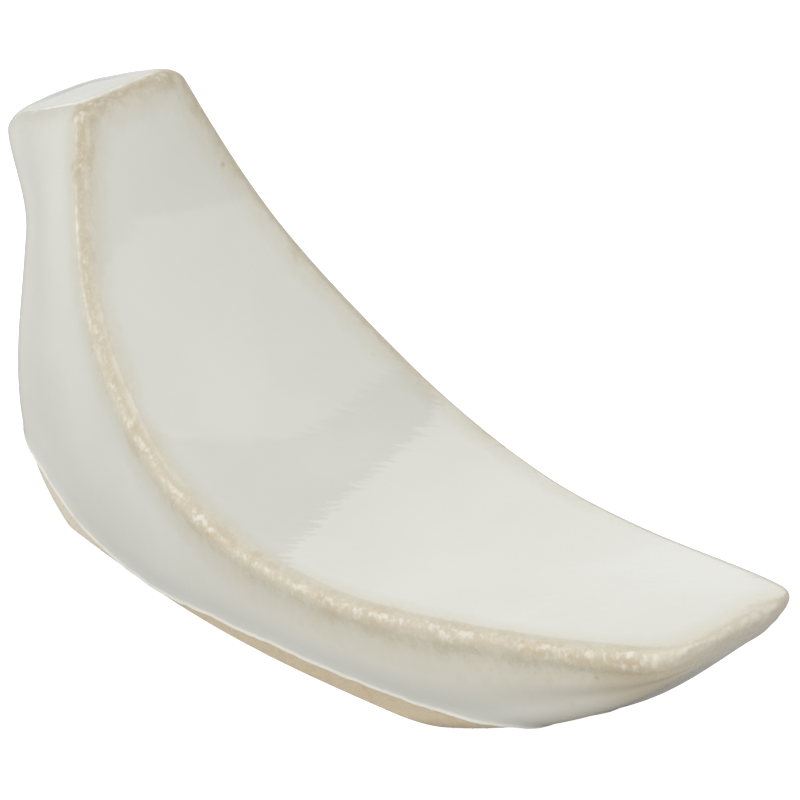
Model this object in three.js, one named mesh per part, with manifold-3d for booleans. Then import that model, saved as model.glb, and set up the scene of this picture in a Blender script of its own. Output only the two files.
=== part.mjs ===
import * as THREE from 'three';
import Module from 'manifold-3d';

// Banana-shaped table rest: one stoneware bar, glazed everywhere except its ground foot.
// Millimetres. X runs from the stem end (-) to the tip (+), Y across, Z up, table at Z = 0.

// Side profile: the concave top line and the underside line, paired station by station.
const topX = [-26.5, -23.1, -16.3, -7.6, 1.7, 11.0, 20.2, 29.3];
const topZ = [28.1, 18.2, 11.9, 8.1, 7.5, 9.3, 11.8, 14.7];
const underX = [-32.9, -29.9, -30.5, -14.5, 1.0, 12.9, 21.9, 28.1];
const underZ = [24.8, 15.0, 1.1, -5.4, -3.5, 0.5, 5.8, 12.1];
// Half widths of the top face and of the underside at the same stations.
const topHalfWidth = [4.2, 7.8, 10.3, 11.2, 10.5, 9.0, 7.7, 6.8];
const underHalfWidth = [3.9, 7.5, 9.0, 9.5, 8.2, 6.9, 5.2, 3.4];
// How far the middle of the underside hangs below its edges, and the rounding of those edges.
const belly = [0.3, 0.4, 0.9, 1.4, 1.5, 1.2, 0.6, 0.2];
const underEdgeRadius = [1.8, 1.8, 1.8, 1.8, 1.8, 2.0, 2.8, 3.0];
const topCrown = 0.35;         // rise of the top face's middle over its edges
const wallSwell = 0.22;        // rise of a side wall's middle over a straight line

const topEdgeRadius = 1.15;
const stemEndRadius = 1.2;
const tipEdgeRadius = 1.1;
const tipPlanRadius = 2.6;
const capFlare = 3.0;          // extra thickness of the stem's end, behind
const capFlareLength = 7.5;

const glazeThickness = 0.15;
const glazeSeat = 0.02;        // hairline between the clay and the coat
// Height above the table at which the coat stops, from the heel forward along X.
const glazeLineX = [-32, 16];
const glazeLine = [7.0, 3.0, 0.35, 0.15, 0.95, 1.7, 1.7, 2.05, 2.9];

const bodyStations = 34;
const stationCrowding = 1.2;   // above 1 the stations crowd towards the stem
const endSteps = 5;
const tipSteps = 7;
const topSteps = 3;
const cornerSteps = 5;
const wallSteps = 4;
const bellySteps = 3;

// Uniform cubic B-spline through the control values, with straight run-outs at both ends.
function law(values, u) {
  const last = values.length - 1;
  const padded = [2 * values[0] - values[1], ...values, 2 * values[last] - values[last - 1]];
  const t = Math.min(Math.max(u, 0), 1) * last;
  const i = Math.min(Math.floor(t), last - 1);
  const f = t - i;
  const weights = [(1 - f) ** 3, 3 * f ** 3 - 6 * f ** 2 + 4, -3 * f ** 3 + 3 * f ** 2 + 3 * f + 1, f ** 3];
  return weights.reduce((sum, weight, k) => sum + weight * padded[i + k], 0) / 6;
}

// Distance travelled along the top line, tabulated so that stations can be placed by length.
const lengthTable = [0];
for (let k = 1; k <= 400; k += 1) {
  const [a, b] = [(k - 1) / 400, k / 400];
  const step = Math.hypot(law(topX, b) - law(topX, a), law(topZ, b) - law(topZ, a));
  lengthTable.push(lengthTable[k - 1] + step);
}
const topLength = lengthTable[400];

function parameterAt(distance) {
  const k = Math.min(Math.max(lengthTable.findIndex((s) => s >= distance), 1), 400);
  return (k - 1 + (distance - lengthTable[k - 1]) / (lengthTable[k] - lengthTable[k - 1])) / 400;
}

function smooth(f) {
  const q = Math.min(Math.max(f, 0), 1);
  return q * q * (3 - 2 * q);
}

// How far a rounded end has drawn in, at a distance from that end.
function drawIn(distance, radius) {
  const d = Math.min(Math.max(distance, 0), radius);
  return radius - Math.sqrt(radius ** 2 - (radius - d) ** 2);
}

// One closed ring of points: a trapezoid with rounded corners and faintly swelling faces,
// grown by `offset`.
function ring(distance, offset) {
  const u = parameterAt(distance);
  const top = new THREE.Vector2(law(topX, u), law(topZ, u));
  const under = new THREE.Vector2(law(underX, u), law(underZ, u));
  const down = under.clone().sub(top);
  const depth = down.length() + capFlare * (1 - smooth(distance / capFlareLength));
  down.normalize();

  const fromTip = topLength + offset - distance;
  const edge = drawIn(distance + offset, stemEndRadius + offset) + drawIn(fromTip, tipEdgeRadius + offset);
  const plan = drawIn(fromTip, tipPlanRadius + offset);
  const upper = [law(topHalfWidth, u) - edge - plan, edge];
  const lower = [law(underHalfWidth, u) - edge - 0.8 * plan, depth - edge];
  const height = lower[1] - upper[1];
  const lean = Math.atan2(upper[0] - lower[0], height);
  const half = (Math.PI / 2 + lean) / 2;
  const topRadius = Math.min(topEdgeRadius, 0.42 * height);
  const underRadius = Math.min(law(underEdgeRadius, u), 0.42 * height);
  const topCentre = [upper[0] - topRadius * Math.tan(half), upper[1] + topRadius];
  const underCentre = [lower[0] - underRadius / Math.tan(half), lower[1] - underRadius];
  const crown = topCrown * smooth(upper[0] / 8);
  const swell = wallSwell * smooth(height / 6);
  const tilt = Math.atan((2 * crown) / topCentre[0]);
  const round = ([y, v], radius, angle) => [y + radius * Math.cos(angle), v + radius * Math.sin(angle)];

  const side = [];
  const topEdge = round(topCentre, topRadius + offset, tilt - Math.PI / 2);
  for (let k = 0; k < topSteps; k += 1) {
    const f = Math.sin((Math.PI / 2) * (k / topSteps));
    side.push([topEdge[0] * f, topEdge[1] - crown * (1 - f * f)]);
  }
  for (let k = 0; k <= cornerSteps; k += 1) {
    const angle = tilt - Math.PI / 2 + (lean + Math.PI / 2 - tilt) * (k / cornerSteps);
    side.push(round(topCentre, topRadius + offset, angle));
  }
  const wallStart = side[side.length - 1];
  const wallEnd = round(underCentre, underRadius + offset, lean);
  for (let k = 1; k < wallSteps; k += 1) {
    const f = k / wallSteps;
    const bulge = swell * Math.sin(Math.PI * f) ** 2;
    side.push([wallStart[0] + (wallEnd[0] - wallStart[0]) * f + bulge * Math.cos(lean),
      wallStart[1] + (wallEnd[1] - wallStart[1]) * f + bulge * Math.sin(lean)]);
  }
  for (let k = 0; k <= cornerSteps; k += 1) {
    side.push(round(underCentre, underRadius + offset, lean + (Math.PI / 2 - lean) * (k / cornerSteps)));
  }
  const flat = side[side.length - 1];
  for (let k = 1; k <= bellySteps; k += 1) {
    const f = k / bellySteps;
    side.push([flat[0] * (1 - f), flat[1] + law(belly, u) * Math.sin((Math.PI / 2) * f) ** 2]);
  }
  const place = ([y, v]) => new THREE.Vector3(top.x + v * down.x, y, top.y + v * down.y);
  const mirrored = side.slice(1, -1).map(([y, v]) => [-y, v]).reverse();
  return [...side.map(place), ...mirrored.map(place)];
}

// Distances of every ring along the bar; the rounded ends move with the offset, the rest stays put.
function stationDistances(offset) {
  const quarter = (steps) => Array.from({ length: steps }, (_, k) => (Math.PI / 2) * (k / steps));
  const stem = quarter(endSteps).map((a) => -offset + (stemEndRadius + offset) * (1 - Math.cos(a)));
  const run = topLength - tipPlanRadius - stemEndRadius;
  const middle = Array.from({ length: bodyStations }, (_, k) => (
    stemEndRadius + run * (k / bodyStations) ** stationCrowding));
  const tip = quarter(tipSteps).map((a) => topLength + offset - (tipPlanRadius + offset) * (1 - Math.sin(a)));
  return [...stem, ...middle, ...tip, topLength + offset];
}

// The whole banana as one closed skin, ends fanned to their middle point.
function restSkin(offset) {
  const rings = stationDistances(offset).map((distance) => ring(distance, offset));
  const count = rings[0].length;
  const points = rings.flat();
  const triangles = [];
  for (let r = 0; r + 1 < rings.length; r += 1) {
    for (let k = 0; k < count; k += 1) {
      const [a, b] = [r * count + k, r * count + ((k + 1) % count)];
      triangles.push(a, b + count, b, a, a + count, b + count);
    }
  }
  for (const [start, flip] of [[0, false], [(rings.length - 1) * count, true]]) {
    const middle = new THREE.Vector3();
    for (let k = 0; k < count; k += 1) middle.addScaledVector(points[start + k], 1 / count);
    const hub = points.push(middle) - 1;
    for (let k = 0; k < count; k += 1) {
      const [a, b] = [start + k, start + ((k + 1) % count)];
      triangles.push(...(flip ? [hub, b, a] : [hub, a, b]));
    }
  }
  return { points, triangles };
}

const wasm = await Module();
wasm.setup();

function solid({ points, triangles }) {
  const vertProperties = new Float32Array(points.flatMap((p) => [p.x, p.y, p.z]));
  const mesh = new wasm.Mesh({ numProp: 3, vertProperties, triVerts: new Uint32Array(triangles) });
  return new wasm.Manifold(mesh);
}

function block(outline) {
  const shape = new THREE.Shape(outline.map(([x, z]) => new THREE.Vector2(x, z)));
  const geometry = new THREE.ExtrudeGeometry(shape, { depth: 60, bevelEnabled: false });
  geometry.rotateX(Math.PI / 2).translate(0, 30, 0);
  const position = geometry.getAttribute('position');
  const points = [];
  const triangles = [];
  const seen = new Map();
  for (let k = 0; k < position.count; k += 1) {
    const point = new THREE.Vector3().fromBufferAttribute(position, k);
    const key = point.toArray().map((v) => v.toFixed(4)).join();
    if (!seen.has(key)) seen.set(key, points.push(point) - 1);
    triangles.push(seen.get(key));
  }
  return solid({ points, triangles });
}

// Everything under the table, and everything the glaze was wiped from.
function belowTable() {
  return block([[-60, -30], [60, -30], [60, 0], [-60, 0]]);
}

function wipedZone() {
  const line = [];
  for (let k = 24; k >= 0; k -= 1) {
    const f = k / 24;
    line.push([glazeLineX[0] + (glazeLineX[1] - glazeLineX[0]) * f, law(glazeLine, f)]);
  }
  return block([[-60, -30], [60, -30], [60, line[0][1]], ...line, [-60, line[24][1]]]);
}

function node(name, manifold, color, roughness) {
  const { vertProperties, triVerts } = manifold.getMesh();
  const geometry = new THREE.BufferGeometry();
  geometry.setAttribute('position', new THREE.BufferAttribute(new Float32Array(vertProperties), 3));
  geometry.setIndex(new THREE.BufferAttribute(new Uint32Array(triVerts), 1));
  geometry.computeVertexNormals();
  const mesh = new THREE.Mesh(geometry, new THREE.MeshStandardMaterial({ color, roughness }));
  mesh.name = name;
  return mesh;
}

const clay = solid(restSkin(-glazeThickness)).subtract(belowTable());
const seat = solid(restSkin(-glazeThickness + glazeSeat));
const coat = solid(restSkin(0)).subtract(seat).subtract(wipedZone());

const part = new THREE.Group();
part.name = 'banana_rest';
part.add(node('clay_body', clay, 0xc7b99b, 0.9), node('glaze_coat', coat, 0xd9d9d2, 0.2));

// Stand the bounding box's middle over the origin.
const bounds = new THREE.Box3().setFromObject(part);
const middleX = (bounds.min.x + bounds.max.x) / 2;
for (const mesh of part.children) mesh.geometry.translate(-middleX, 0, 0);

export default part;
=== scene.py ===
import math

import bmesh
import bpy
import numpy as np
from mathutils import Matrix, Vector, kdtree, noise


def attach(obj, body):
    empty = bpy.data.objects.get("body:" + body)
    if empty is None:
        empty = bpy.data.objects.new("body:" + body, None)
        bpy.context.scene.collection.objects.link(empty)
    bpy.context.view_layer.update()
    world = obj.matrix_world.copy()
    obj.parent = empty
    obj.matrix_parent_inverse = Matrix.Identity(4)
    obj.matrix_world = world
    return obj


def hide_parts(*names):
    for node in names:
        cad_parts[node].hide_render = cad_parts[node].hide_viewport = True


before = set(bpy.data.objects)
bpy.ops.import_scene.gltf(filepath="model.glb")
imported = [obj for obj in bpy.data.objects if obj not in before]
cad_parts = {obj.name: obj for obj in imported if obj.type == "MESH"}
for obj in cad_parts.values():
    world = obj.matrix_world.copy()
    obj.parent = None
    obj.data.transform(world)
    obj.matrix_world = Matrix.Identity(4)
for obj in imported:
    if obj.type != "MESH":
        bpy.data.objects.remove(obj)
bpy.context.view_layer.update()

# ---------------------------------------------------------------- sizes, in millimetres
MM = 0.001

# Side profile: the concave top line and the underside line, paired station by station.
TOP_X = [-26.5, -23.1, -16.3, -7.6, 1.7, 11.0, 20.2, 29.3]
TOP_Z = [28.1, 18.2, 11.9, 8.1, 7.5, 9.3, 11.8, 14.7]
UNDER_X = [-32.9, -29.9, -30.5, -14.5, 1.0, 12.9, 21.9, 28.1]
UNDER_Z = [24.8, 15.0, 1.1, -5.4, -3.5, 0.5, 5.8, 12.1]
TOP_HALF_WIDTH = [4.2, 7.8, 10.3, 11.2, 10.5, 9.0, 7.7, 6.8]
UNDER_HALF_WIDTH = [3.9, 7.5, 9.0, 9.5, 8.2, 6.9, 5.2, 3.4]
BELLY = [0.3, 0.4, 0.9, 1.4, 1.5, 1.2, 0.6, 0.2]
UNDER_EDGE_RADIUS = [1.8, 1.8, 1.8, 1.8, 1.8, 2.0, 2.8, 3.0]

TOP_EDGE_RADIUS = 1.15
STEM_END_RADIUS = 1.2
TIP_EDGE_RADIUS = 1.1
TIP_PLAN_RADIUS = 2.6
CAP_FLARE = 3.0
CAP_FLARE_LENGTH = 7.5
TOP_CROWN = 0.35          # rise of the top face's middle over its edges
WALL_SWELL = 0.22         # rise of a side wall's middle over a straight line
END_DOME = 0.25

GLAZE_THICKNESS = 0.15
GLAZE_SEAT = 0.02
GLAZE_LINE_X = (-32.0, 16.0)
GLAZE_LINE = [7.0, 3.0, 0.35, 0.15, 0.95, 1.7, 1.7, 2.05, 2.9]
GLAZE_LINE_WAVER = 0.14
GLAZE_LINE_WAVES = ((1.0, 0.4), (0.6, 1.3), (0.35, 3.1))    # share and pitch of each wave
GLAZE_LINE_SLICE = 3.7    # where in the noise the waves are taken from
GLAZE_LINE_LOWEST = 0.08

# Proportions of a section.
CORNER_SHARE = 0.42       # the most of a wall's height that one rounded corner takes
TIP_UNDER_SHARE = 0.8     # how much of the tip's plan rounding its underside takes
CROWN_FULL_WIDTH = 8.0    # half width at which the top face has its full crown
SWELL_FULL_HEIGHT = 6.0   # wall height at which the wall has its full swell
TIP_DOME = 0.02

# Where the coat thins: lines just inside each end, and how far from a crest the thinning reaches,
# as (share of the bar's length from the stem end, value).
STEM_EDGE_INSET = 0.35
TIP_EDGE_INSET = 0.32
TOP_REACH = ((0, 2.6), (0.15, 2.0), (0.5, 1.7), (0.9, 1.9), (1, 2.8))
WALL_REACH = ((0, 1.9), (0.15, 1.6), (0.35, 3.0), (0.6, 4.4), (0.85, 5.2), (0.94, 7.0), (1, 7.5))
FAR_SIDE_FACTOR = ((0, 1.2), (0.3, 1.5), (0.55, 1.4), (0.8, 0.7), (0.94, 0.9), (1, 1.2))
STEM_EDGE_REACH = 1.5
STEM_EDGE_THINNESS = 0.34

# Fineness of the two skins and of the lines on them.
RUN_STATIONS = 210
STATION_CROWDING = 1.15   # above 1 the stations crowd towards the stem
STEM_END_STEPS = 9
TIP_END_STEPS = 16
END_FACE_STEPS = 9
TOP_STEPS, CORNER_STEPS, WALL_STEPS, UNDER_STEPS = 14, 12, 20, 12
CREST_STATIONS = 500
POINTS_BETWEEN = 12


# ---------------------------------------------------------------- the banana's law of shape
def law(values, u):
    """Uniform cubic B-spline through the control values, with straight run-outs."""
    c = np.asarray(values, float)
    c = np.concatenate([[2 * c[0] - c[1]], c, [2 * c[-1] - c[-2]]])
    t = np.clip(np.asarray(u, float), 0, 1) * (len(values) - 1)
    i = np.minimum(t.astype(int), len(values) - 2)
    f = t - i
    weights = [(1 - f) ** 3, 3 * f ** 3 - 6 * f ** 2 + 4, -3 * f ** 3 + 3 * f ** 2 + 3 * f + 1, f ** 3]
    return sum(w * c[i + k] for k, w in enumerate(weights)) / 6


TABLE_U = np.linspace(0, 1, 1201)
TABLE_X = law(TOP_X, TABLE_U)
TABLE_S = np.concatenate([[0], np.cumsum(np.hypot(np.diff(TABLE_X), np.diff(law(TOP_Z, TABLE_U))))])
TOP_LENGTH = float(TABLE_S[-1])


def draw_in(distance, radius):
    """How far a rounded end has drawn in, at a distance from that end."""
    d = min(max(distance, 0.0), radius)
    return radius - math.sqrt(max(radius ** 2 - (radius - d) ** 2, 0.0))


def smooth(f):
    f = min(max(f, 0.0), 1.0)
    return f * f * (3 - 2 * f)


def half_section(distance, offset):
    """The top point, the way down from it, and points (y, depth) round one side to the underside."""
    u = float(np.interp(distance, TABLE_S, TABLE_U))
    top = np.array([law(TOP_X, u), law(TOP_Z, u)])
    down = np.array([law(UNDER_X, u), law(UNDER_Z, u)]) - top
    depth = np.hypot(*down) + CAP_FLARE * (1 - smooth(distance / CAP_FLARE_LENGTH))
    down = down / np.hypot(*down)

    from_tip = TOP_LENGTH + offset - distance
    edge = draw_in(distance + offset, STEM_END_RADIUS + offset) + draw_in(from_tip, TIP_EDGE_RADIUS + offset)
    plan = draw_in(from_tip, TIP_PLAN_RADIUS + offset)
    upper = np.array([law(TOP_HALF_WIDTH, u) - edge - plan, edge])
    lower = np.array([law(UNDER_HALF_WIDTH, u) - edge - TIP_UNDER_SHARE * plan, depth - edge])
    wall = lower - upper
    height = wall[1]
    wall = wall / np.hypot(*wall)
    lean = math.atan2(-wall[0], wall[1])
    half = (math.pi / 2 + lean) / 2
    top_radius = min(TOP_EDGE_RADIUS, CORNER_SHARE * height)
    under_radius = min(float(law(UNDER_EDGE_RADIUS, u)), CORNER_SHARE * height)
    top_centre = upper + np.array([-top_radius * math.tan(half), top_radius])
    under_centre = lower + np.array([-under_radius / math.tan(half), -under_radius])
    crown = TOP_CROWN * smooth(upper[0] / CROWN_FULL_WIDTH)
    swell = WALL_SWELL * smooth(height / SWELL_FULL_HEIGHT)
    tilt = math.atan(2 * crown / top_centre[0])

    points = []
    r = top_radius + offset
    flat_y = top_centre[0] + r * math.sin(tilt)
    flat_v = top_centre[1] - r * math.cos(tilt)
    for k in range(TOP_STEPS):
        f = math.sin(math.pi / 2 * k / TOP_STEPS)
        points.append((flat_y * f, flat_v - crown * (1 - f * f)))
    for k in range(CORNER_STEPS + 1):
        a = -math.pi / 2 + tilt + (lean + math.pi / 2 - tilt) * k / CORNER_STEPS
        points.append((top_centre[0] + r * math.cos(a), top_centre[1] + r * math.sin(a)))
    normal = np.array([math.cos(lean), math.sin(lean)])
    start = top_centre + r * normal
    r = under_radius + offset
    finish = under_centre + r * normal
    for k in range(1, WALL_STEPS):
        f = k / WALL_STEPS
        p = start + (finish - start) * f + normal * swell * math.sin(math.pi * f) ** 2
        points.append((p[0], p[1]))
    for k in range(CORNER_STEPS + 1):
        a = lean + (math.pi / 2 - lean) * k / CORNER_STEPS
        points.append((under_centre[0] + r * math.cos(a), under_centre[1] + r * math.sin(a)))
    flat_y, flat_v = points[-1]
    belly = float(law(BELLY, u))
    for k in range(1, UNDER_STEPS + 1):
        f = k / UNDER_STEPS
        points.append((flat_y * (1 - f), flat_v + belly * math.sin(math.pi / 2 * f) ** 2))
    return top, down, points


def ring(distance, offset):
    """One whole section as points in space: a side, and its mirror image back to the start."""
    top, down, side = half_section(distance, offset)
    whole = side + [(-y, v) for y, v in reversed(side[1:-1])]
    return np.array([(top[0] + v * down[0], y, top[1] + v * down[1]) for y, v in whole])


def quarter_turn(steps):
    return [math.pi / 2 * k / steps for k in range(steps)]


def station_distances(offset):
    """Where the sections stand along the top line: close together round both ends."""
    stem_reach = STEM_END_RADIUS + offset
    stem = [-offset + stem_reach * (1 - math.cos(a)) for a in quarter_turn(STEM_END_STEPS)]
    run = TOP_LENGTH - TIP_PLAN_RADIUS - STEM_END_RADIUS
    middle = [STEM_END_RADIUS + run * (k / RUN_STATIONS) ** STATION_CROWDING for k in range(RUN_STATIONS)]
    tip_reach = TIP_PLAN_RADIUS + offset
    tip = [TOP_LENGTH + offset - tip_reach * (1 - math.sin(a)) for a in quarter_turn(TIP_END_STEPS)]
    return stem + middle + tip + [TOP_LENGTH + offset]


def end_face(edge_ring, outward, dome):
    """Rings that close a flat end, drawing in to its middle over a low dome."""
    middle = edge_ring.mean(axis=0)
    rings = []
    for k in range(1, END_FACE_STEPS):
        f = k / END_FACE_STEPS
        rise = dome * math.sin(math.pi / 2 * f) ** 2
        rings.append(middle + (edge_ring - middle) * (1 - f) + outward * rise)
    return rings, middle + outward * dome


def rest_skin(offset):
    """Points and faces of the whole closed banana, grown by offset."""
    distances = station_distances(offset)
    rings = [ring(d, offset) for d in distances]
    ends = []
    for edge_ring, inner_ring, dome in ((rings[0], rings[STEM_END_STEPS], END_DOME),
                                        (rings[-1], rings[-TIP_END_STEPS], TIP_DOME)):
        across = np.array([0.0, 1.0, 0.0])
        along = np.cross(edge_ring[len(edge_ring) // 2] - edge_ring[0], across)
        along /= np.linalg.norm(along)
        if np.dot(along, edge_ring.mean(axis=0) - inner_ring.mean(axis=0)) < 0:
            along = -along
        ends.append(end_face(edge_ring, along, dome))
    rings = list(reversed(ends[0][0])) + rings + ends[1][0]
    count = len(rings[0])
    points = np.concatenate(rings + [ends[0][1][None], ends[1][1][None]])
    faces = []
    for r in range(len(rings) - 1):
        for k in range(count):
            a, b = r * count + k, r * count + (k + 1) % count
            faces.append((a, a + count, b + count, b))
    first, last = len(points) - 2, len(points) - 1
    base = (len(rings) - 1) * count
    for k in range(count):
        faces.append((first, k, (k + 1) % count))
        faces.append((last, base + (k + 1) % count, base + k))
    return points, faces


# ---------------------------------------------------------------- where the glaze thins
def edge_lines():
    """The crest round the top face and the edge round the stem's end: points (x, y, z, distance)."""
    crest, cap = [], []
    at_crest = TOP_STEPS + CORNER_STEPS // 2
    for d in np.linspace(STEM_EDGE_INSET, TOP_LENGTH - STEM_EDGE_INSET, CREST_STATIONS):
        top, down, side = half_section(float(d), 0.0)
        for y, v in (side[at_crest], (-side[at_crest][0], side[at_crest][1])):
            crest.append((top[0] + v * down[0], y, top[1] + v * down[1], d))
    ends = ((STEM_EDGE_INSET, cap, True), (STEM_EDGE_INSET, crest, False),
            (TOP_LENGTH - TIP_EDGE_INSET, crest, False))
    for d, store, whole in ends:
        top, down, side = half_section(d, 0.0)
        part = side if whole else side[: at_crest + 1]
        for (y0, v0), (y1, v1) in zip(part, part[1:]):
            for f in np.linspace(0, 1, POINTS_BETWEEN):
                y, v = y0 + (y1 - y0) * f, v0 + (v1 - v0) * f
                for s in (1, -1):
                    store.append((top[0] + v * down[0], s * y, top[1] + v * down[1], d))
    return crest, cap


def nearest(tree_points, points):
    """For each point, the gap to the nearest of tree_points and how far along the bar that one is."""
    tree = kdtree.KDTree(len(tree_points))
    for k, p in enumerate(tree_points):
        tree.insert(p[:3], k)
    tree.balance()
    found = [tree.find(p) for p in points]
    return np.array([f[2] for f in found]), np.array([tree_points[f[1]][3] for f in found])


def along_bar(u, pairs):
    shares, values = zip(*pairs)
    return np.interp(u, shares, values)


def edge_thinness(points, normals):
    """1 on an edge that the glaze has run off, falling to 0 where the coat is full."""
    crest, cap = edge_lines()
    gap, along = nearest(crest, points)
    u = along / TOP_LENGTH
    on_top = np.array([top_side(p, n) for p, n in zip(points, normals)])
    reach = np.where(on_top, along_bar(u, TOP_REACH), along_bar(u, WALL_REACH))
    reach *= np.where(points[:, 1] < 0, 1.0, along_bar(u, FAR_SIDE_FACTOR))
    thin = np.clip(1 - gap / reach, 0, 1)
    cap_gap, _ = nearest(cap, points)
    return np.maximum(thin, STEM_EDGE_THINNESS * np.clip(1 - cap_gap / STEM_EDGE_REACH, 0, 1))


def top_side(point, normal, step=0.01, share_facing=0.70):
    """Whether a point belongs to the top face, by how squarely its normal stands on the top line."""
    u = np.interp(point[0], TABLE_X, TABLE_U)
    ahead, back = min(u + step, 1), max(u - step, 0)
    slope = np.array([law(TOP_Z, back) - law(TOP_Z, ahead), 0, law(TOP_X, ahead) - law(TOP_X, back)])
    return float(np.dot(slope, normal)) > share_facing * float(np.linalg.norm(slope))


def glaze_line(x, y):
    """Height at which the coat stops, wavering a little round the foot."""
    u = (x - GLAZE_LINE_X[0]) / (GLAZE_LINE_X[1] - GLAZE_LINE_X[0])
    waver = sum(share * noise.noise(Vector((x * pitch, y * pitch, GLAZE_LINE_SLICE * pitch)))
                for share, pitch in GLAZE_LINE_WAVES)
    return max(float(law(GLAZE_LINE, u)) + GLAZE_LINE_WAVER * waver, GLAZE_LINE_LOWEST)


# ---------------------------------------------------------------- mesh helpers
def new_object(name, mesh):
    obj = bpy.data.objects.new(name, mesh)
    bpy.context.scene.collection.objects.link(obj)
    return obj


def skin_bmesh(offset, attributes):
    points, faces = rest_skin(offset)
    bm = bmesh.new()
    for name in attributes:
        bm.verts.layers.float.new(name)
    verts = [bm.verts.new(p) for p in points]
    for f in faces:
        bm.faces.new([verts[i] for i in f])
    bm.normal_update()
    return bm


def cut_above(bm, line):
    """Keeps what is above a height that may vary: bends the line flat, cuts, bends it back."""
    for v in bm.verts:
        v.co.z -= line(v.co.x, v.co.y)
    geometry = bm.verts[:] + bm.edges[:] + bm.faces[:]
    bmesh.ops.bisect_plane(
        bm, geom=geometry, dist=1e-5, plane_co=(0, 0, 0), plane_no=(0, 0, 1), clear_inner=True)
    for v in bm.verts:
        v.co.z += line(v.co.x, v.co.y)


def plain_mesh(obj, name):
    """The object with its modifiers applied, as a new plain object; the old one goes."""
    graph = bpy.context.evaluated_depsgraph_get()
    graph.update()
    mesh = bpy.data.meshes.new_from_object(
        obj.evaluated_get(graph), preserve_all_data_layers=True, depsgraph=graph)
    bpy.data.objects.remove(obj)
    mesh.name = name
    return new_object(name, mesh)


def shade_smooth(mesh, angle=None):
    mesh.polygons.foreach_set("use_smooth", [True] * len(mesh.polygons))
    if angle is not None:
        mesh.set_sharp_from_angle(angle=angle)
    mesh.update()


# ---------------------------------------------------------------- node-tree helpers
def set_inputs(tree, node, inputs):
    """Links each input that is given a socket, and sets each that is given a value."""
    for key, value in inputs.items():
        if isinstance(value, bpy.types.NodeSocket):
            tree.links.new(value, node.inputs[key])
        else:
            node.inputs[key].default_value = value


def add_node(tree, kind, inputs=None, **settings):
    node = tree.nodes.new(kind)
    for key, value in settings.items():
        setattr(node, key, value)
    set_inputs(tree, node, inputs or {})
    return node


def maths(tree, operation, *values, clamp=False):
    inputs = dict(enumerate(values))
    return add_node(tree, "ShaderNodeMath", inputs, operation=operation, use_clamp=clamp).outputs[0]


def vector_maths(tree, operation, inputs):
    return add_node(tree, "ShaderNodeVectorMath", inputs, operation=operation)


def parts(tree, vector):
    """A vector's x, y and z."""
    return add_node(tree, "ShaderNodeSeparateXYZ", {0: vector}).outputs


def blend_colour(tree, factor, first, second):
    """A mix node's colour sockets are its inputs 6 and 7, and its colour result is output 2."""
    inputs = {0: factor, 6: first, 7: second}
    return add_node(tree, "ShaderNodeMix", inputs, data_type="RGBA").outputs[2]


def ramp(tree, value, low, high, low_out=0.0, high_out=1.0):
    inputs = {"Value": value, "From Min": low, "From Max": high, "To Min": low_out, "To Max": high_out}
    return add_node(tree, "ShaderNodeMapRange", inputs, interpolation_type="SMOOTHSTEP").outputs[0]


def grain(tree, position, per_mm, detail=2.0, roughness=0.5, warp=0.0):
    """Noise with about per_mm features in a millimetre."""
    inputs = {"Vector": position, "Scale": per_mm / MM, "Detail": detail,
              "Roughness": roughness, "Distortion": warp}
    return add_node(tree, "ShaderNodeTexNoise", inputs).outputs["Fac"]


def new_group(name, kind, inputs, outputs):
    """An empty node group whose sockets are (label, type, default), with its two end nodes."""
    tree = bpy.data.node_groups.new(name, kind)
    for way, sockets in (("INPUT", inputs), ("OUTPUT", outputs)):
        for label, socket_type, default in sockets:
            socket = tree.interface.new_socket(label, in_out=way, socket_type=socket_type)
            if default is not None:
                socket.default_value = default
    return tree, tree.nodes.new("NodeGroupInput"), tree.nodes.new("NodeGroupOutput")


# ---------------------------------------------------------------- geometry nodes
GEOMETRY = ("Geometry", "NodeSocketGeometry", None)


def named_attribute(tree, name):
    return add_node(tree, "GeometryNodeInputNamedAttribute", {"Name": name}, data_type="FLOAT").outputs[0]


def glaze_flow_tree():
    """The coat swells into a roll along its lower edge and ripples a little everywhere."""
    sizes = [GEOMETRY, ("Roll Swell", "NodeSocketFloat", 0.1),
             ("Roll Width", "NodeSocketFloat", 0.4), ("Ripple", "NodeSocketFloat", 0.03),
             ("Ripple Length", "NodeSocketFloat", 5.0), ("Edge Pull", "NodeSocketFloat", 0.03),
             ("Seed", "NodeSocketFloat", 4.0)]
    tree, source, sink = new_group("glaze_flow", "GeometryNodeTree", sizes, [GEOMETRY])
    out = source.outputs
    gap, thin = named_attribute(tree, "line_gap"), named_attribute(tree, "thin")
    position = tree.nodes.new("GeometryNodeInputPosition").outputs[0]
    normal = tree.nodes.new("GeometryNodeInputNormal").outputs[0]
    away = maths(tree, "DIVIDE", gap, out["Roll Width"])
    roll = maths(tree, "POWER", math.e, maths(tree, "MULTIPLY", maths(tree, "MULTIPLY", away, away), -1.0))
    swell = maths(tree, "MULTIPLY", roll, out["Roll Swell"])
    scale = maths(tree, "DIVIDE", 1.0, out["Ripple Length"])
    waves = add_node(
        tree, "ShaderNodeTexNoise", {"Vector": position, "W": out["Seed"], "Scale": scale, "Detail": 1.5},
        noise_dimensions="4D").outputs["Fac"]
    ripple = maths(tree, "MULTIPLY", maths(tree, "SUBTRACT", waves, 0.5), out["Ripple"])
    pull = maths(tree, "MULTIPLY", maths(tree, "POWER", thin, 2.0), out["Edge Pull"])
    height = maths(tree, "SUBTRACT", maths(tree, "ADD", swell, ripple), pull)
    offset = vector_maths(tree, "SCALE", {0: normal, "Scale": height}).outputs[0]
    moved = add_node(tree, "GeometryNodeSetPosition", {"Geometry": out["Geometry"], "Offset": offset})
    tree.links.new(moved.outputs[0], sink.inputs[0])
    return tree


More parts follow.
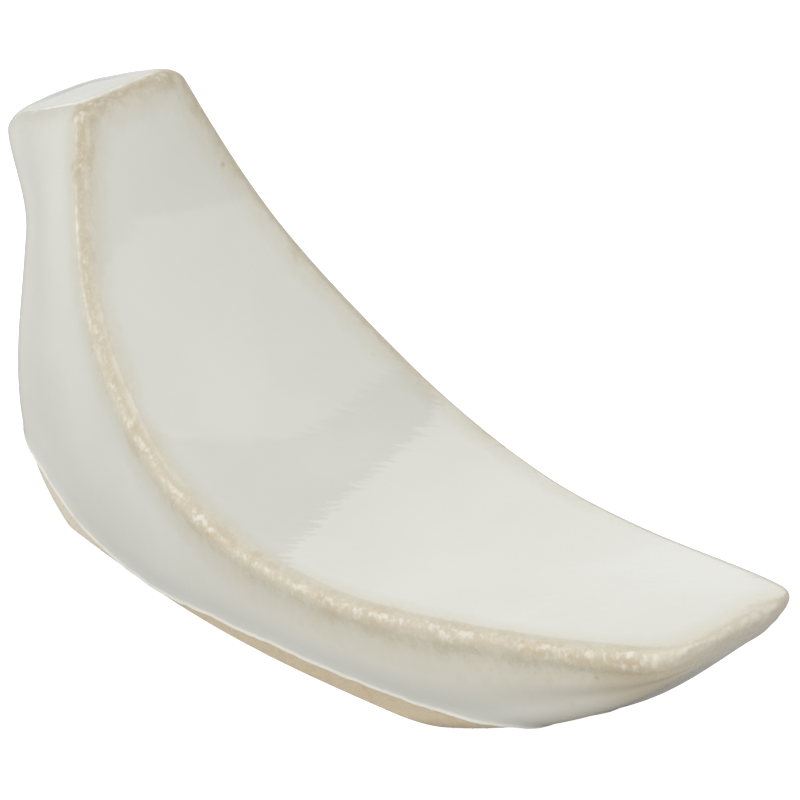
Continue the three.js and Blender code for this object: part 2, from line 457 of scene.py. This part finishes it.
def sand_grains_tree(material):
    """Coarse sand standing out of the bare clay round the foot."""
    sizes = [GEOMETRY, ("Grains Per Area", "NodeSocketFloat", 1.0), ("Grain Radius", "NodeSocketFloat", 0.1),
             ("Top Of Bare Clay", "NodeSocketFloat", 1.0), ("Smallest Share", "NodeSocketFloat", 0.35),
             ("Seed", "NodeSocketInt", 11)]
    tree, source, sink = new_group("sand_grains", "GeometryNodeTree", sizes, [GEOMETRY])
    out = source.outputs
    position = tree.nodes.new("GeometryNodeInputPosition").outputs[0]
    height = parts(tree, position)[2]
    low = add_node(tree, "FunctionNodeCompare", {0: height, 1: out["Top Of Bare Clay"]},
                   data_type="FLOAT", operation="LESS_THAN").outputs[0]
    high = add_node(tree, "FunctionNodeCompare", {0: height, 1: out["Grain Radius"]},
                    data_type="FLOAT", operation="GREATER_THAN").outputs[0]
    band = add_node(tree, "FunctionNodeBooleanMath", {0: low, 1: high}, operation="AND").outputs[0]
    scatter = add_node(tree, "GeometryNodeDistributePointsOnFaces",
                       {"Mesh": out["Geometry"], "Selection": band, "Density": out["Grains Per Area"],
                        "Seed": out["Seed"]}, distribute_method="RANDOM")
    grain_shape = add_node(
        tree, "GeometryNodeMeshIcoSphere", {"Radius": out["Grain Radius"], "Subdivisions": 1})
    size = add_node(
        tree, "FunctionNodeRandomValue", {2: out["Smallest Share"], 3: 1.0, "Seed": out["Seed"]},
        data_type="FLOAT").outputs[1]
    spread = add_node(tree, "GeometryNodeInstanceOnPoints",
                      {"Points": scatter.outputs["Points"], "Instance": grain_shape.outputs["Mesh"],
                       "Rotation": scatter.outputs["Rotation"], "Scale": size})
    real = add_node(tree, "GeometryNodeRealizeInstances", {0: spread.outputs[0]})
    finish = add_node(tree, "GeometryNodeSetMaterial", {"Geometry": real.outputs[0], "Material": material})
    tree.links.new(finish.outputs[0], sink.inputs[0])
    return tree


def run_tree(obj, tree, values):
    """Puts a geometry-node tree on an object, its inputs set by their socket identifiers."""
    modifier = obj.modifiers.new(tree.name, "NODES")
    modifier.node_group = tree
    for item in tree.interface.items_tree:
        if item.item_type == "SOCKET" and item.in_out == "INPUT" and item.name in values:
            modifier[item.identifier] = values[item.name]


# ---------------------------------------------------------------- finishes
CLOUD_DIM, CLOUD_BRIGHT = (0.712, 0.710, 0.645, 1), (0.742, 0.740, 0.682, 1)
# Painted shade: the walls' warmer, darker cream towards the tip.
WALL_PAINTED_SHADE = (0.715, 0.685, 0.585, 1)
# Painted shade in the hollow just above the rolled lip.
LIP_HOLLOW_PAINTED_SHADE = (0.62, 0.645, 0.60, 1)
# Painted shade on faces that look down.
UNDERSIDE_PAINTED_SHADE = (0.60, 0.54, 0.42, 1)
VEIL_BUFF = (0.655, 0.612, 0.480, 1)
STEM_OCHRE = (0.44, 0.36, 0.225, 1)
TIP_BROWN = (0.56, 0.44, 0.27, 1)
TIP_CREAM = (0.82, 0.78, 0.67, 1)
# Partly the pale clay bared on the crest, partly a painted highlight on it.
CREST_CREAM_AND_GLINT = (0.78, 0.75, 0.66, 1)
SPECK_RUST = (0.50, 0.35, 0.19, 1)
# Painted highlight along the rolled lip at the glaze's lower edge.
LIP_PAINTED_HIGHLIGHT = (0.90, 0.88, 0.81, 1)
HEEL_CREAM = (0.84, 0.80, 0.70, 1)

# Noise coordinates per millimetre of X and Y: long along the strokes, short across them.
STROKES_ALONG, STROKES_ACROSS = (0.34, 0.37, 0), (-1.30, 1.20, 0)


def stoneware_grain_group():
    """Buff clay with fine pale and rusty sand in it: a colour and a height."""
    inputs = [("Position", "NodeSocketVector", None), ("Clay", "NodeSocketColor", (0.5, 0.4, 0.3, 1)),
              ("Pale Sand", "NodeSocketColor", (0.7, 0.6, 0.5, 1)),
              ("Rust", "NodeSocketColor", (0.4, 0.28, 0.15, 1)), ("Coarseness", "NodeSocketFloat", 1.0)]
    outputs = [("Color", "NodeSocketColor", None), ("Height", "NodeSocketFloat", None)]
    tree, source, sink = new_group("stoneware_grain", "ShaderNodeTree", inputs, outputs)
    out = source.outputs
    place = vector_maths(tree, "SCALE", {0: out["Position"], "Scale": out["Coarseness"]}).outputs[0]
    fine = grain(tree, place, 6.0, 3.0, 0.6)
    blotch = grain(tree, place, 0.9, 3.0, 0.55, 0.4)
    pale = ramp(tree, fine, 0.52, 0.68)
    rust = maths(tree, "MULTIPLY", ramp(tree, blotch, 0.50, 0.70), ramp(tree, fine, 0.60, 0.42, 0.4, 1.0))
    colour = blend_colour(tree, pale, out["Clay"], out["Pale Sand"])
    colour = blend_colour(tree, rust, colour, out["Rust"])
    height = maths(tree, "ADD", maths(tree, "MULTIPLY", fine, 0.7), maths(tree, "MULTIPLY", blotch, 0.3))
    set_inputs(tree, sink, {"Color": colour, "Height": height})
    return tree


def thin_coat_group():
    """Thinness made ragged by noise, as masks: the buff veil, the bared clay and the very crest."""
    inputs = [("Position", "NodeSocketVector", None), ("Thin", "NodeSocketFloat", 0.0),
              ("Ragged", "NodeSocketFloat", 0.35)]
    outputs = [(label, "NodeSocketFloat", None) for label in ("Veil", "Bare", "Crest")]
    tree, source, sink = new_group("thin_coat", "ShaderNodeTree", inputs, outputs)
    out = source.outputs
    broad = maths(tree, "SUBTRACT", grain(tree, out["Position"], 0.35, 2.0), 0.5)
    runs = vector_maths(tree, "MULTIPLY", {0: out["Position"], 1: (1.0, 1.0, 0.45)}).outputs[0]
    ragged = maths(tree, "SUBTRACT", grain(tree, runs, 2.2, 3.0, 0.65), 0.5)
    shift = maths(tree, "MULTIPLY", maths(tree, "ADD", broad, ragged), out["Ragged"])
    there = maths(tree, "MULTIPLY", out["Thin"], 6.0, clamp=True)
    worn = maths(tree, "ADD", out["Thin"], maths(tree, "MULTIPLY", shift, there))
    set_inputs(tree, sink, {
        "Veil": ramp(tree, worn, -0.1, 0.75), "Bare": ramp(tree, worn, 0.52, 1.0),
        "Crest": ramp(tree, worn, 0.86, 1.06)})
    return tree


def iron_specks_group():
    """A mask of scattered soft round specks: one here and there in a grid of random cells."""
    inputs = [("Position", "NodeSocketVector", None), ("Cell Size", "NodeSocketFloat", 0.003),
              ("Speck Radius", "NodeSocketFloat", 0.1), ("Share", "NodeSocketFloat", 0.5)]
    outputs = [("Mask", "NodeSocketFloat", None)]
    tree, source, sink = new_group("iron_specks", "ShaderNodeTree", inputs, outputs)
    out = source.outputs
    wobble = grain(tree, out["Position"], 1.5, 2.0)
    cells = add_node(tree, "ShaderNodeTexVoronoi", {
        "Vector": out["Position"], "Scale": maths(tree, "DIVIDE", 1.0, out["Cell Size"])})
    uneven = maths(tree, "ADD", cells.outputs["Distance"], maths(tree, "MULTIPLY", wobble, 0.08))
    edge = maths(tree, "ADD", out["Speck Radius"], 0.04)
    core = maths(tree, "SUBTRACT", edge, uneven)
    soft = maths(tree, "DIVIDE", core, out["Speck Radius"], clamp=True)
    lot = add_node(tree, "ShaderNodeSeparateColor", {0: cells.outputs["Color"]}).outputs[0]
    chosen = maths(tree, "LESS_THAN", lot, out["Share"])
    tree.links.new(maths(tree, "MULTIPLY", soft, chosen), sink.inputs["Mask"])
    return tree


def new_material(name):
    material = bpy.data.materials.new(name)
    material.use_nodes = True
    tree = material.node_tree
    shader = tree.nodes["Principled BSDF"]
    position = tree.nodes.new("ShaderNodeTexCoord").outputs["Object"]
    return material, tree, shader, position


def use_group(tree, group, inputs):
    node = tree.nodes.new("ShaderNodeGroup")
    node.node_tree = group
    set_inputs(tree, node, inputs)
    return node.outputs


def full_coat_colour_and_shade(tree, position, line_gap, wall, upward):
    """Clouded white, with painted shade: a warm painted shade on the walls towards the tip, a greenish-grey
    painted shade above the rolled lip, and a buff painted shade underneath.
    """
    along = parts(tree, position)[0]
    cloud = ramp(tree, grain(tree, position, 0.09, 3.0, 0.5), 0.35, 0.65)
    white = blend_colour(tree, cloud, CLOUD_DIM, CLOUD_BRIGHT)
    # Painted shade: walls, found by their normal, turn a warmer, darker cream towards the tip.
    fore = maths(tree, "MULTIPLY", wall, ramp(tree, along, -14 * MM, 6 * MM, 0.0, 0.6))
    white = blend_colour(tree, fore, white, WALL_PAINTED_SHADE)
    # Painted shade: a darker greenish-grey band in the hollow just above the rolled lip, weaker towards the
    # stem.
    lip_hollow_shade = maths(tree, "MULTIPLY", ramp(tree, line_gap, 2.6, 0.7), ramp(tree, line_gap, 0.1, 0.5))
    lip_hollow_shade = maths(tree, "MULTIPLY", lip_hollow_shade, ramp(tree, along, -22 * MM, -8 * MM, 0.2, 0.6))
    white = blend_colour(tree, lip_hollow_shade, white, LIP_HOLLOW_PAINTED_SHADE)
    # Painted shade: faces that look down are darkened to a buff tone.
    return blend_colour(tree, ramp(tree, upward, -0.45, -0.80, 0.0, 0.75), white, UNDERSIDE_PAINTED_SHADE)


def thinned_colour_and_glint(tree, position, full, coat, clay_colour, wall):
    """The coat where it thins: a buff veil, then clay, then a broken cream crest that is partly pale bared
    clay and partly a painted highlight.
    """
    along, across, _ = parts(tree, position)
    veil = blend_colour(tree, maths(tree, "MULTIPLY", coat["Veil"], 0.60), full, VEIL_BUFF)
    bared = maths(tree, "MULTIPLY", coat["Bare"], ramp(tree, along, -27 * MM, -17 * MM, 0.92, 0.70))
    stem_side = ramp(tree, along, -17 * MM, -25 * MM, 0.0, 0.45)
    broken = blend_colour(tree, bared, veil, blend_colour(tree, stem_side, clay_colour, STEM_OCHRE))
    near_tip = ramp(tree, along, 24 * MM, 29.5 * MM, 0.0, 0.55)
    near_tip = maths(tree, "MULTIPLY", near_tip, ramp(tree, across, -2.5 * MM, -4.5 * MM))
    broken = blend_colour(tree, maths(tree, "MULTIPLY", wall, near_tip), broken, TIP_BROWN)
    tip_end = maths(tree, "MULTIPLY", coat["Bare"], ramp(tree, along, 28.5 * MM, 30.5 * MM, 0.0, 0.40))
    broken = blend_colour(tree, tip_end, broken, TIP_CREAM)
    # The crest's cream is partly pale bared clay, partly a painted highlight where the crest catches the
    # light.
    cream_and_glint = maths(tree, "MULTIPLY", coat["Crest"], ramp(tree, grain(tree, position, 1.8, 2.0), 0.38, 0.60))
    return blend_colour(tree, maths(tree, "MULTIPLY", cream_and_glint, 0.80), broken, CREST_CREAM_AND_GLINT)


def glaze_relief(tree, position, coat, clay_height):
    """Heights in mm: slow flow, long strokes, pinholes, and the clay's sand where it is bared."""
    flow = maths(tree, "MULTIPLY", grain(tree, position, 0.5, 2.0, 0.5), 0.010)
    lengthwise = vector_maths(tree, "DOT_PRODUCT", {0: position, 1: STROKES_ALONG}).outputs["Value"]
    crosswise = vector_maths(tree, "DOT_PRODUCT", {0: position, 1: STROKES_ACROSS}).outputs["Value"]
    strokes = add_node(tree, "ShaderNodeCombineXYZ", {0: lengthwise, 1: crosswise}).outputs[0]
    peel = maths(tree, "MULTIPLY", grain(tree, strokes, 1.0, 1.0, 0.5), 0.013)
    pinholes = maths(tree, "MULTIPLY", grain(tree, position, 5.0, 1.0, 0.5), 0.0002)
    sandy = maths(tree, "MULTIPLY", maths(tree, "MULTIPLY", clay_height, coat["Bare"]), 0.03)
    return maths(tree, "ADD", maths(tree, "ADD", flow, peel), maths(tree, "ADD", pinholes, sandy))


def white_glaze(stoneware, thin_coat, iron_specks):
    material, tree, shader, position = new_material("white_glaze")
    thin = add_node(tree, "ShaderNodeAttribute", attribute_name="thin").outputs["Fac"]
    line_gap = add_node(tree, "ShaderNodeAttribute", attribute_name="line_gap").outputs["Fac"]
    upward = parts(tree, tree.nodes.new("ShaderNodeNewGeometry").outputs["Normal"])[2]
    wall = ramp(tree, upward, 0.5, 0.1)
    coat = use_group(tree, thin_coat, {"Position": position, "Thin": thin, "Ragged": 0.50})
    clay = use_group(tree, stoneware, {
        "Position": position, "Clay": (0.53, 0.455, 0.31, 1), "Pale Sand": (0.64, 0.59, 0.465, 1),
        "Rust": (0.50, 0.37, 0.20, 1), "Coarseness": 0.45})
    specks = use_group(tree, iron_specks, {
        "Position": position, "Cell Size": 2.6 * MM, "Speck Radius": 0.10, "Share": 0.45})["Mask"]

    full = full_coat_colour_and_shade(tree, position, line_gap, wall, upward)
    colour = thinned_colour_and_glint(tree, position, full, coat, clay["Color"], wall)
    rusty = maths(tree, "MULTIPLY", specks, maths(tree, "MULTIPLY", coat["Veil"], 0.65))
    colour = blend_colour(tree, rusty, colour, SPECK_RUST)
    # Painted highlight: a near-white line along the rolled lip at the glaze's lower edge.
    colour = blend_colour(tree, ramp(tree, line_gap, 0.34, 0.14), colour, LIP_PAINTED_HIGHLIGHT)
    relief = glaze_relief(tree, position, coat, clay["Height"])
    bump = add_node(tree, "ShaderNodeBump", {"Height": relief, "Distance": MM, "Strength": 1.0}).outputs[0]
    set_inputs(tree, shader, {
        "Base Color": colour, "Normal": bump, "Roughness": ramp(tree, coat["Bare"], 0.0, 1.0, 0.03, 0.45),
        "IOR": 1.55})
    return material


def bare_clay(stoneware):
    material, tree, shader, position = new_material("bare_clay")
    body = use_group(tree, stoneware, {
        "Position": position, "Clay": (0.71, 0.61, 0.435, 1), "Pale Sand": (0.77, 0.69, 0.55, 1),
        "Rust": (0.70, 0.55, 0.36, 1), "Coarseness": 1.3})
    toward_heel = ramp(tree, parts(tree, position)[0], -11 * MM, -20 * MM, 0.0, 0.65)
    relief = {"Height": body["Height"], "Distance": 0.08 * MM, "Strength": 1.0}
    set_inputs(tree, shader, {
        "Base Color": blend_colour(tree, toward_heel, body["Color"], HEEL_CREAM),
        "Normal": add_node(tree, "ShaderNodeBump", relief).outputs[0],
        "Roughness": ramp(tree, grain(tree, position, 2.0, 2.0), 0.3, 0.7, 0.80, 0.95)})
    return material


def sand_grain(stoneware):
    material, tree, shader, position = new_material("sand_grain")
    body = use_group(tree, stoneware, {
        "Position": position, "Clay": (0.78, 0.67, 0.49, 1), "Pale Sand": (0.84, 0.77, 0.63, 1),
        "Rust": (0.46, 0.35, 0.21, 1), "Coarseness": 0.6})
    dusty = ramp(tree, grain(tree, position, 1.5, 1.0), 0.3, 0.7, 0.6, 0.9)
    set_inputs(tree, shader, {"Base Color": body["Color"], "Roughness": dusty})
    return material


# ---------------------------------------------------------------- pieces
STEM_SEARCH, STEM_SEARCH_STEPS = 4.0, 40    # where along the bar its rearmost point is looked for


def centre_shift():
    """How far along X the law is moved, so that its box's middle stands over the origin."""
    stem_rings = [ring(d, 0.0)[:, 0] for d in np.linspace(0, STEM_SEARCH, STEM_SEARCH_STEPS)]
    low = min(float(r.min()) for r in stem_rings)
    high = float(ring(TOP_LENGTH, 0.0)[:, 0].max())
    return -(low + high) / 2


def settle(obj, shift):
    """From the law's millimetres to the frame's metres."""
    obj.data.transform(Matrix.Scale(MM, 4) @ Matrix.Translation((shift, 0, 0)))
    obj.data.update()
    return obj


def raw_object(bm, name, material):
    """An object of one material from a bmesh, which is freed."""
    mesh = bpy.data.meshes.new(name)
    bm.to_mesh(mesh)
    bm.free()
    mesh.materials.append(material)
    return new_object(name, mesh)


def bevel(obj, name, width, angle):
    modifier = obj.modifiers.new(name, "BEVEL")
    modifier.width, modifier.segments = width, 3
    modifier.limit_method, modifier.angle_limit = "ANGLE", math.radians(angle)


def make_glaze(shift, material):
    bm = skin_bmesh(0.0, ("thin", "line_gap"))
    cut_above(bm, glaze_line)
    thin_layer, line_layer = (bm.verts.layers.float[n] for n in ("thin", "line_gap"))
    thin = edge_thinness(np.array([v.co[:] for v in bm.verts]), np.array([v.normal[:] for v in bm.verts]))
    for v, thinness in zip(bm.verts, thin):
        v[thin_layer] = thinness
        v[line_layer] = v.co.z - glaze_line(v.co.x, v.co.y)
    raw = raw_object(bm, "glaze_raw", material)
    run_tree(raw, glaze_flow_tree(), {
        "Roll Swell": 0.10, "Roll Width": 0.30, "Ripple": 0.09, "Ripple Length": 9.0, "Edge Pull": 0.04})
    wall = raw.modifiers.new("coat_wall", "SOLIDIFY")
    wall.thickness = GLAZE_THICKNESS - GLAZE_SEAT
    wall.offset = -1
    bevel(raw, "rolled_lip", 0.06, 50)
    glaze = settle(plain_mesh(raw, "glaze_coat_skin"), shift)
    shade_smooth(glaze.data)
    return glaze


def make_clay(shift, material):
    bm = skin_bmesh(-GLAZE_THICKNESS, ())
    cut_above(bm, lambda x, y: 0.0)
    bmesh.ops.holes_fill(bm, edges=[e for e in bm.edges if e.is_boundary], sides=0)
    raw = raw_object(bm, "clay_raw", material)
    bevel(raw, "eased_foot_edge", 0.2, 35)
    clay = settle(plain_mesh(raw, "clay_body_core"), shift)
    shade_smooth(clay.data, math.radians(40))
    return clay


def make_sand(clay, material):
    source = clay.copy()
    bpy.context.scene.collection.objects.link(source)
    run_tree(source, sand_grains_tree(material), {
        "Grains Per Area": 2.2e6, "Grain Radius": 0.055 * MM, "Top Of Bare Clay": 1.6 * MM, "Seed": 11})
    sand = plain_mesh(source, "foot_sand")
    shade_smooth(sand.data)
    return sand


# ---------------------------------------------------------------- floor, light and camera
FLOOR_GREY = 0.50
FLOOR_GLOW = 0.90             # what the camera sees added to the floor's own light
BACKDROP_GLOW = 0.34          # what a mirror reflection sees added, behind the object
BACKDROP_FROM, BACKDROP_TO = 20 * MM, 60 * MM


def make_floor():
    """A pale floor that glows a little more to the camera than it lights the object."""
    bm = bmesh.new()
    bmesh.ops.create_grid(bm, x_segments=2, y_segments=2, size=3.0)
    material, tree, shader, position = new_material("pale_floor")
    ray = tree.nodes.new("ShaderNodeLightPath").outputs
    behind = ramp(tree, parts(tree, position)[1], BACKDROP_FROM, BACKDROP_TO, 0.0, BACKDROP_GLOW)
    mirrored = maths(tree, "MULTIPLY", ray["Is Glossy Ray"], behind)
    seen = maths(tree, "MULTIPLY", ray["Is Camera Ray"], FLOOR_GLOW)
    set_inputs(tree, shader, {
        "Base Color": (FLOOR_GREY, FLOOR_GREY, FLOOR_GREY, 1), "Roughness": 0.9, "Specular IOR Level": 0.1,
        "Emission Color": (1, 1, 1, 1), "Emission Strength": maths(tree, "ADD", seen, mirrored)})
    raw_object(bm, "pale_floor", material)


PANEL_AIM = Vector((0, 0, 12 * MM))


def soft_panel(name, direction, distance, width, height, power):
    """A rectangular studio panel that faces the object. Metres and watts; direction points to it."""
    light = bpy.data.lights.new(name, "AREA")
    light.shape, light.size, light.size_y = "RECTANGLE", width, height
    light.energy = power
    panel = bpy.data.objects.new(name, light)
    bpy.context.scene.collection.objects.link(panel)
    direction = Vector(direction).normalized()
    panel.location = direction * distance + PANEL_AIM
    panel.rotation_mode = "QUATERNION"
    panel.rotation_quaternion = direction.to_track_quat("Z", "Y")
    return panel


def make_light():
    world = bpy.data.worlds.new("studio_air")
    world.use_nodes = True
    background = world.node_tree.nodes["Background"]
    set_inputs(world.node_tree, background, {"Color": (0.99, 0.99, 1.0, 1), "Strength": 0.42})
    bpy.context.scene.world = world
    soft_panel("left_back_panel", (-0.685, 0.639, 0.350), 1.0, 1.02, 0.85, 2.55)
    soft_panel("right_back_panel", (0.40, 0.62, 0.68), 1.5, 1.6, 1.3, 3.4)
    soft_panel("left_front_panel", (-0.55, -0.75, 0.45), 1.5, 1.2, 1.0, 9.2)
    soft_panel("right_fill_panel", (0.80, -0.55, 0.22), 1.5, 0.9, 0.6, 7.3)
    soft_panel("overhead_panel", (0.30, -0.25, 0.92), 1.4, 0.9, 0.9, 3.7)


CAMERA_TURN = math.radians(42.5)       # of the picture's right-hand direction from +Y towards +X
CAMERA_HEIGHT = math.radians(33.0)
CAMERA_DISTANCE = 0.380
CAMERA_LENS, CAMERA_SENSOR = 273.6, 36.0
STAND_HEIGHT = 8 * MM                  # of the point that the camera stands back from
AIM_RIGHT, AIM_UP = -0.92 * MM, 7.24 * MM    # from that point to the one in the picture's middle


def make_camera(shift):
    """A long lens that looks down on the bar from its front and tip end."""
    back = Vector((math.cos(CAMERA_TURN) * math.cos(CAMERA_HEIGHT),
                   -math.sin(CAMERA_TURN) * math.cos(CAMERA_HEIGHT), math.sin(CAMERA_HEIGHT)))
    right = Vector((math.sin(CAMERA_TURN), math.cos(CAMERA_TURN), 0))
    up = back.cross(right)
    data = bpy.data.cameras.new("camera")
    data.sensor_width, data.lens = CAMERA_SENSOR, CAMERA_LENS
    data.clip_start, data.clip_end = 0.01, 20.0
    camera = bpy.data.objects.new("camera", data)
    bpy.context.scene.collection.objects.link(camera)
    camera.location = Vector((shift * MM, 0, STAND_HEIGHT)) + back * CAMERA_DISTANCE
    sight = -back * CAMERA_DISTANCE + right * AIM_RIGHT + up * AIM_UP
    camera.rotation_mode = "QUATERNION"
    camera.rotation_quaternion = sight.to_track_quat("-Z", "Y")
    bpy.context.scene.camera = camera


def make_all():
    scene = bpy.context.scene
    scene.view_settings.view_transform = "Standard"
    stoneware, thin_coat, iron_specks = stoneware_grain_group(), thin_coat_group(), iron_specks_group()
    shift = centre_shift()
    glaze = make_glaze(shift, white_glaze(stoneware, thin_coat, iron_specks))
    clay = make_clay(shift, bare_clay(stoneware))
    sand = make_sand(clay, sand_grain(stoneware))
    for piece, slot in ((glaze, "glaze"), (clay, "clay"), (sand, "clay")):
        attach(piece, "root")
    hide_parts("glaze_coat")
    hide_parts("clay_body")
    make_floor()
    make_light()
    make_camera(shift)


make_all()
